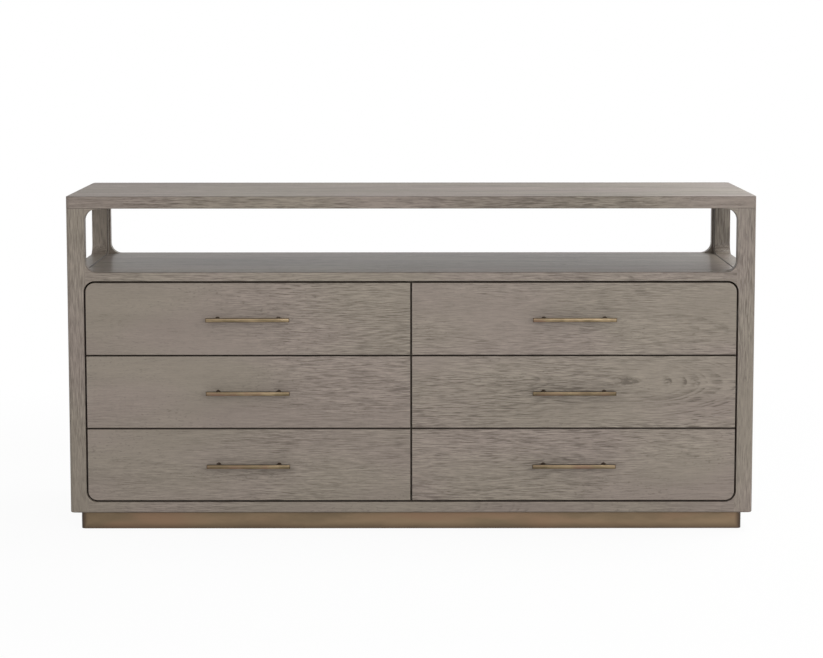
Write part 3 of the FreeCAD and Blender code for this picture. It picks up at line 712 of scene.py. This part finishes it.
runnerSteel = dict(plinthBrass, clean=(0.50, 0.51, 0.52), dull=(0.42, 0.43, 0.44), warm=(0.47, 0.46, 0.43),
                   cloudSize=30.0, roughness=0.5, metallic=1.0, paintedHighlight=0.0)
screwSteel = dict(runnerSteel, roughness=0.3)
nylon = {
    "colour": (0.028, 0.028, 0.030),
    "darkTone": 0.7,
    "lightTone": 1.4,
    "grit": (900.0, 900.0, 900.0),
    "gritLimits": (0.3, 0.7),
    "roughness": (0.47, 0.63),
    "bump": 0.15,
    "bumpDepth": 0.0002,
}


def metalMaterial(name, metal, along=alongX, shift=0.0, box=None, back=None):
    material, tree, shader = newMaterial(name, metal["clean"])
    spot = addNode(tree, "ShaderNodeTexCoord").outputs["Object"]
    face = alongZ if along != alongZ else alongY
    vector = grainVector(tree, spot, Vector((0, 0, 0)), along, face, (shift, shift, shift))
    inputs = {
        "Vector": vector,
        "Clean": rgba(metal["clean"]),
        "Dull": rgba(metal["dull"]),
        "Warm": rgba(metal["warm"]),
        "Cloud Size": metal["cloudSize"],
        "Roughness": metal["roughness"],
    }
    made = placeGroup(tree, patinaGroup, inputs)
    colour = made["Color"]
    if box is not None:
        centre = (box[0] + box[1]) / 2
        half = (box[1] - box[0]) / 2
        parts = addNode(tree, "ShaderNodeSeparateXYZ", {0: spot}).outputs
        rise = calc(tree, "DIVIDE", calc(tree, "SUBTRACT", parts["Z"], centre.z), half.z)
        fall = calc(tree, "MULTIPLY", rise, -1.0)
        place = dot(tree, spot, along)
        way = calc(tree, "DIVIDE", calc(tree, "SUBTRACT", place, along.dot(centre)), along.dot(half))
        way = calc(tree, "ABSOLUTE", way)
        # Painted highlight: the upper half of the front is made brighter, as if it caught the light
        paintedHighlight = calc(tree, "MULTIPLY", remap(tree, rise, *metal["paintedHighlightLimits"]), metal["paintedHighlight"])
        colour = mixColour(tree, paintedHighlight, colour, rgba(metal["clean"], metal["paintedHighlightTone"]))
        # Painted shade along the top, along the bottom and towards the ends, and on the posts behind the bar
        masks = []
        for share, key in ((rise, "topPaintedShade"), (fall, "lowPaintedShade"), (way, "endPaintedShade")):
            first, last, strength = metal[key]
            masks.append(calc(tree, "MULTIPLY", remap(tree, share, first, last), strength))
        paintedShade = calc(tree, "MAXIMUM", calc(tree, "MAXIMUM", masks[0], masks[1]), masks[2])
        if back is not None:
            postPaintedShade = calc(tree, "GREATER_THAN", parts["Y"], back)
            postPaintedShade = calc(tree, "MULTIPLY", postPaintedShade, metal["topPaintedShade"][2])
            paintedShade = calc(tree, "MAXIMUM", paintedShade, postPaintedShade)
        colour = mixColour(tree, paintedShade, colour, rgba(metal["paintedShade"]))
    bump = addNode(tree, "ShaderNodeBump",
                   {"Strength": metal["bump"], "Distance": metal["bumpDepth"], "Height": made["Height"]})
    shader.inputs["Metallic"].default_value = metal["metallic"]
    tree.links.new(colour, shader.inputs["Base Color"])
    tree.links.new(made["Roughness"], shader.inputs["Roughness"])
    tree.links.new(bump.outputs["Normal"], shader.inputs["Normal"])
    return material


def nylonMaterial():
    material, tree, shader = newMaterial("nylon", nylon["colour"])
    spot = addNode(tree, "ShaderNodeTexCoord").outputs["Object"]
    grit = noise(tree, spot, nylon["grit"])
    bump = addNode(tree, "ShaderNodeBump",
                   {"Strength": nylon["bump"], "Distance": nylon["bumpDepth"], "Height": grit})
    dark = rgba(nylon["colour"], nylon["darkTone"])
    light = rgba(nylon["colour"], nylon["lightTone"])
    tree.links.new(mixColour(tree, grit, dark, light), shader.inputs["Base Color"])
    tree.links.new(remap(tree, grit, *nylon["gritLimits"], *nylon["roughness"]), shader.inputs["Roughness"])
    tree.links.new(bump.outputs["Normal"], shader.inputs["Normal"])
    return material


plinthBoards = {
    "plinth_front": alongX,
    "plinth_back": alongX,
    "plinth_left": alongY,
    "plinth_right": alongY,
}
for name, along in plinthBoards.items():
    assign(name, metalMaterial(f"{name}_brass", plinthBrass, along, box=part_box(name)))
steelMaterial = metalMaterial("runner_steel", runnerSteel, alongY)
assign("cabinet_runners", steelMaterial)
for name in drawerNames:
    assign(f"middle_runners_{name}", steelMaterial)
    assign(f"drawer_runners_{name}", steelMaterial)
assign("levelling_feet", nylonMaterial())
print("metals finished")


# Pulls: a bar with softened edges on two turned posts

pull = {
    "barDepth": 0.009,
    "edge": 0.0009,
    "edgeSteps": 3,
    "postCentres": 0.160,
    "postFoot": 0.0062,
    "postNeck": 0.0050,
    "collar": 0.0024,
    "collarEase": 0.25,  # share of the collar's width
    "postSides": 40,
    "smoothBelow": 35,  # degrees between faces
    "stainStep": 0.37,  # how far the stains shift from one bar to the next
    "tones": {"upper_right": 0.93, "middle_right": 0.77, "lower_left": 0.93, "lower_right": 0.87},
}


# Turns a profile of (radius, distance) pairs about a line that runs from base towards -Y
def lathe(bench, profile, base, sides):
    rings = []
    for radius, reach in profile:
        ring = []
        for step in range(sides):
            angle = 2 * math.pi * step / sides
            spot = Vector((radius * math.cos(angle), -reach, radius * math.sin(angle)))
            ring.append(bench.verts.new(base + spot))
        rings.append(ring)
    for first, second in zip(rings, rings[1:]):
        for step in range(sides):
            following = (step + 1) % sides
            bench.faces.new((first[step], first[following], second[following], second[step]))
    bench.faces.new(rings[0])
    bench.faces.new(rings[-1])


def meshObject(name, bench):
    bmesh.ops.recalc_face_normals(bench, faces=bench.faces)
    mesh = bpy.data.meshes.new(name)
    bench.to_mesh(mesh)
    bench.free()
    made = bpy.data.objects.new(name, mesh)
    scene.collection.objects.link(made)
    return made


def makePull(name, shift):
    low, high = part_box(f"pull_{name}")
    tone = pull["tones"].get(name, 1.0)
    brass = dict(pullBrass, **{key: rgba(pullBrass[key], tone)[:3] for key in ("clean", "dull", "warm")})
    # Behind this depth the posts get the painted shade
    back = low.y + pull["barDepth"]
    material = metalMaterial(f"pull_brass_{name}", brass, alongX, shift, (low, high), back)
    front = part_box(f"drawer_front_{name}")[0].y
    centre = (low + high) / 2
    bench = bmesh.new()
    size = Vector((high.x - low.x, pull["barDepth"], high.z - low.z))
    bar = bmesh.ops.create_cube(bench, size=1.0)["verts"]
    bmesh.ops.scale(bench, vec=size, verts=bar)
    bmesh.ops.translate(bench, vec=(centre.x, low.y + size.y / 2, centre.z), verts=bar)
    bmesh.ops.bevel(bench, geom=bench.edges[:], offset=pull["edge"], segments=pull["edgeSteps"],
                    profile=0.5, affect="EDGES")
    reach = front - (low.y + size.y)
    soft = pull["collar"] * pull["collarEase"]
    profile = [
        (pull["postFoot"] - soft, 0.0),
        (pull["postFoot"], soft),
        (pull["postFoot"], pull["collar"] - soft),
        (pull["postFoot"] - soft, pull["collar"]),
        (pull["postNeck"], pull["collar"] + soft),
        (pull["postNeck"], reach - pull["collar"]),
        (pull["postFoot"] - soft, reach),
    ]
    for way in (-1, 1):
        base = Vector((centre.x + way * pull["postCentres"] / 2, front, centre.z))
        lathe(bench, profile, base, pull["postSides"])
    made = meshObject(f"bar_pull_{name}", bench)
    for polygon in made.data.polygons:
        polygon.use_smooth = True
    made.data.set_sharp_from_angle(angle=math.radians(pull["smoothBelow"]))
    made.data.materials.append(material)
    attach(made, f"drawer_{name}")
    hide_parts(f"pull_{name}")


for order, name in enumerate(drawerNames):
    makePull(name, pull["stainStep"] * order)
print("pulls made")


# Screws: cross-recessed pan heads, grown on points by one node tree

screw = {"sides": 28, "recessWidth": 0.24, "recessLength": 1.15, "recessDepth": 0.55, "crown": 0.72}
pullScrew = {"headRadius": 0.0042, "headHeight": 0.0026}
runnerScrew = {
    "headRadius": 0.0036,
    "headHeight": 0.0018,
    "count": 3,
    "endSpace": 0.045,  # from each end of the runner to its first screw
    "memberWall": 0.0016,  # thickness of the runner's metal under the head
}


def makeScrewTree():
    tree = bpy.data.node_groups.new("panHeads", "GeometryNodeTree")
    tree.interface.new_socket("Geometry", in_out="INPUT", socket_type="NodeSocketGeometry")
    inputs = {"Head Radius": "Float", "Head Height": "Float", "Turn": "Vector", "Material": "Material"}
    for label, kind in inputs.items():
        tree.interface.new_socket(label, in_out="INPUT", socket_type="NodeSocket" + kind)
    tree.interface.new_socket("Geometry", in_out="OUTPUT", socket_type="NodeSocketGeometry")
    given = tree.nodes.new("NodeGroupInput").outputs
    leave = tree.nodes.new("NodeGroupOutput").inputs
    radius, height = given["Head Radius"], given["Head Height"]
    rimInputs = {
        "Vertices": screw["sides"],
        "Side Segments": 2,
        "Fill Segments": 1,
        "Radius Bottom": radius,
        "Radius Top": calc(tree, "MULTIPLY", radius, screw["crown"]),
        "Depth": height,
    }
    rim = addNode(tree, "GeometryNodeMeshCone", rimInputs, fill_type="NGON")
    long = calc(tree, "MULTIPLY", radius, screw["recessLength"])
    wide = calc(tree, "MULTIPLY", radius, screw["recessWidth"])
    deep = calc(tree, "MULTIPLY", height, 2 * screw["recessDepth"])
    bars = []
    for first, second in ((long, wide), (wide, long)):
        size = addNode(tree, "ShaderNodeCombineXYZ", {0: first, 1: second, 2: deep}).outputs[0]
        cube = addNode(tree, "GeometryNodeMeshCube", {"Size": size}).outputs["Mesh"]
        place = addNode(tree, "ShaderNodeCombineXYZ", {2: height}).outputs[0]
        moved = addNode(tree, "GeometryNodeTransform", {"Geometry": cube, "Translation": place})
        bars.append(moved.outputs[0])
    cut = addNode(tree, "GeometryNodeMeshBoolean", operation="DIFFERENCE")
    tree.links.new(rim.outputs["Mesh"], cut.inputs["Mesh 1"])
    for bar in bars:
        tree.links.new(bar, cut.inputs["Mesh 2"])
    spreadInputs = {
        "Points": given["Geometry"],
        "Instance": cut.outputs["Mesh"],
        "Rotation": given["Turn"],
    }
    spread = addNode(tree, "GeometryNodeInstanceOnPoints", spreadInputs)
    plain = addNode(tree, "GeometryNodeRealizeInstances", {"Geometry": spread.outputs[0]})
    dressInputs = {"Geometry": plain.outputs[0], "Material": given["Material"]}
    dressed = addNode(tree, "GeometryNodeSetMaterial", dressInputs)
    tree.links.new(dressed.outputs[0], leave["Geometry"])
    return tree


screwTree = makeScrewTree()


def growScrews(name, spots, turn, sizes, material, body):
    mesh = bpy.data.meshes.new(name)
    mesh.from_pydata([tuple(spot) for spot in spots], [], [])
    seedling = bpy.data.objects.new(name + "_points", mesh)
    scene.collection.objects.link(seedling)
    modifier = seedling.modifiers.new("heads", "NODES")
    modifier.node_group = screwTree
    values = {
        "Head Radius": sizes["headRadius"],
        "Head Height": sizes["headHeight"],
        "Turn": turn,
        "Material": material,
    }
    for item in screwTree.interface.items_tree:
        if item.in_out == "INPUT" and item.name in values:
            modifier[item.identifier] = values[item.name]
    bpy.context.view_layer.update()
    evaluated = seedling.evaluated_get(bpy.context.evaluated_depsgraph_get())
    grown = bpy.data.meshes.new_from_object(evaluated)
    bpy.data.objects.remove(seedling)
    made = bpy.data.objects.new(name, grown)
    scene.collection.objects.link(made)
    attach(made, body)


def makeDrawerScrews(name, material):
    boxLow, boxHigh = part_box(f"drawer_box_{name}")
    pullLow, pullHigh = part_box(f"pull_{name}")
    middle = (pullLow + pullHigh) / 2
    inside = boxLow.y + drawerBox["board"]
    spots = [(middle.x + way * pull["postCentres"] / 2, inside, middle.z) for way in (-1, 1)]
    outward = (math.radians(-90), 0.0, 0.0)
    growScrews(f"pull_screws_{name}", spots, outward, pullScrew, material, f"drawer_{name}")
    runnerLow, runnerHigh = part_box(f"drawer_runners_{name}")
    wall = runnerScrew["memberWall"]
    height = (runnerLow.z + runnerHigh.z) / 2
    first = runnerLow.y + runnerScrew["endSpace"]
    step = (runnerHigh.y - runnerLow.y - 2 * runnerScrew["endSpace"]) / (runnerScrew["count"] - 1)
    for side, across, turn in (("a", boxLow.x - wall, -90), ("b", boxHigh.x + wall, 90)):
        spots = [(across, first + step * number, height) for number in range(runnerScrew["count"])]
        outward = (0.0, math.radians(turn), 0.0)
        growScrews(f"runner_screws_{side}_{name}", spots, outward, runnerScrew, material,
                   f"drawer_{name}")


screwMaterial = metalMaterial("screw_steel", screwSteel, alongX)
for name in drawerNames:
    makeDrawerScrews(name, screwMaterial)
print("screws grown")


# Smooth shading of the rounded CAD edges, without touching their meshes

weldReach = 0.00001
for node in nodes.values():
    weld = node.modifiers.new("weld", "WELD")
    weld.merge_threshold = weldReach


# Camera of the picture

camera = {
    "place": (0.0014, -5.8441, 1.3302),
    "tilt": -0.0982,
    "roll": 0.0006,
    "focalPixels": 2148.5,
    "centreRow": 239.0,
    "width": 823,
    "height": 658,
    "sensor": 36.0,
}


def makeCamera():
    data = bpy.data.cameras.new("camera")
    data.sensor_width = camera["sensor"]
    data.lens = camera["focalPixels"] * camera["sensor"] / camera["width"]
    data.shift_y = (camera["centreRow"] - camera["height"] / 2) / camera["width"]
    made = bpy.data.objects.new("camera", data)
    made.location = camera["place"]
    made.rotation_euler = (math.pi / 2 + camera["tilt"], camera["roll"], 0.0)
    scene.collection.objects.link(made)
    scene.camera = made


makeCamera()


# Floor, surroundings and lamps

studio = {
    "horizon": 1.08,
    "zenith": 0.36,
    "horizonTop": 0.15,
    "zenithBase": 0.8,
    "sideways": 0.4,  # how much brighter the surroundings are on the right than in the middle
    "floorColour": (0.95, 0.95, 0.945),
    "floorLift": 0.94,
    "clearNear": 1.2,  # the shadow on the floor fades out between these distances
    "clearFar": 2.4,
    "clearStretch": (0.75, 1.0, 1.0),
    "floorSize": 60.0,
}
lamps = {
    "key": {"place": (1.3, -4.3, 1.35), "aim": (0.1, 0.0, 0.5), "size": 2.2, "power": 48.0},
    "fill": {"place": (-0.9, -4.4, 2.8), "aim": (0.0, 0.0, 0.4), "size": 2.4, "power": 26.0},
    "side": {"place": (1.6, 0.35, 2.9), "aim": (0.6, 0.0, 0.9), "size": 1.0, "power": 36.0},
    "back": {"place": (2.0, 3.0, 2.3), "aim": (0.2, 0.0, 0.7), "size": 1.4, "power": 14.0},
}


def seenDirectly(tree):
    rays = addNode(tree, "ShaderNodeLightPath").outputs
    sharp = calc(tree, "MAXIMUM", rays["Is Glossy Ray"], rays["Is Transmission Ray"])
    return calc(tree, "MAXIMUM", rays["Is Camera Ray"], sharp)


def makeWorld():
    world = bpy.data.worlds.new("studio")
    world.use_nodes = True
    scene.world = world
    tree = world.node_tree
    tree.nodes.clear()
    way = addNode(tree, "ShaderNodeTexCoord").outputs["Generated"]
    parts = addNode(tree, "ShaderNodeSeparateXYZ", {0: way}).outputs
    glow = remap(tree, parts["Z"], studio["horizonTop"], studio["zenithBase"],
                 studio["horizon"], studio["zenith"])
    glow = calc(tree, "MULTIPLY", glow, calc(tree, "MULTIPLY_ADD", parts["X"], studio["sideways"], 1.0))
    soft = addNode(tree, "ShaderNodeBackground", {"Color": (1.0, 1.0, 1.0, 1.0), "Strength": glow})
    white = addNode(tree, "ShaderNodeBackground", {"Color": (1.0, 1.0, 1.0, 1.0), "Strength": 1.0})
    mix = addNode(tree, "ShaderNodeMixShader", {0: seenDirectly(tree)})
    tree.links.new(soft.outputs[0], mix.inputs[1])
    tree.links.new(white.outputs[0], mix.inputs[2])
    leave = tree.nodes.new("ShaderNodeOutputWorld")
    tree.links.new(mix.outputs[0], leave.inputs["Surface"])


def makeFloor():
    bench = bmesh.new()
    bmesh.ops.create_grid(bench, x_segments=1, y_segments=1, size=studio["floorSize"] / 2)
    floor = meshObject("floor", bench)
    material = bpy.data.materials.new("floor")
    material.use_nodes = True
    tree = material.node_tree
    tree.nodes.clear()
    spot = addNode(tree, "ShaderNodeTexCoord").outputs["Object"]
    squeezed = vectorCalc(tree, "MULTIPLY", spot, studio["clearStretch"])
    away = addNode(tree, "ShaderNodeVectorMath", {0: squeezed}, operation="LENGTH").outputs["Value"]
    clear = remap(tree, away, studio["clearNear"], studio["clearFar"], studio["floorLift"], 1.0)
    share = calc(tree, "MULTIPLY", clear, seenDirectly(tree))
    matt = addNode(tree, "ShaderNodeBsdfDiffuse", {"Color": rgba(studio["floorColour"])})
    white = addNode(tree, "ShaderNodeEmission", {"Color": (1.0, 1.0, 1.0, 1.0), "Strength": 1.0})
    mix = addNode(tree, "ShaderNodeMixShader", {0: share})
    tree.links.new(matt.outputs[0], mix.inputs[1])
    tree.links.new(white.outputs[0], mix.inputs[2])
    leave = tree.nodes.new("ShaderNodeOutputMaterial")
    tree.links.new(mix.outputs[0], leave.inputs["Surface"])
    floor.data.materials.append(material)


def makeLamp(name, lamp):
    data = bpy.data.lights.new(name, "AREA")
    data.shape = "SQUARE"
    data.size = lamp["size"]
    data.energy = lamp["power"]
    made = bpy.data.objects.new(name, data)
    made.location = lamp["place"]
    aim = Vector(lamp["aim"]) - Vector(lamp["place"])
    made.rotation_euler = aim.to_track_quat("-Z", "Y").to_euler()
    scene.collection.objects.link(made)


makeWorld()
makeFloor()
for name, lamp in lamps.items():
    makeLamp(name, lamp)
scene.view_settings.view_transform = "Standard"
print("camera and light set")
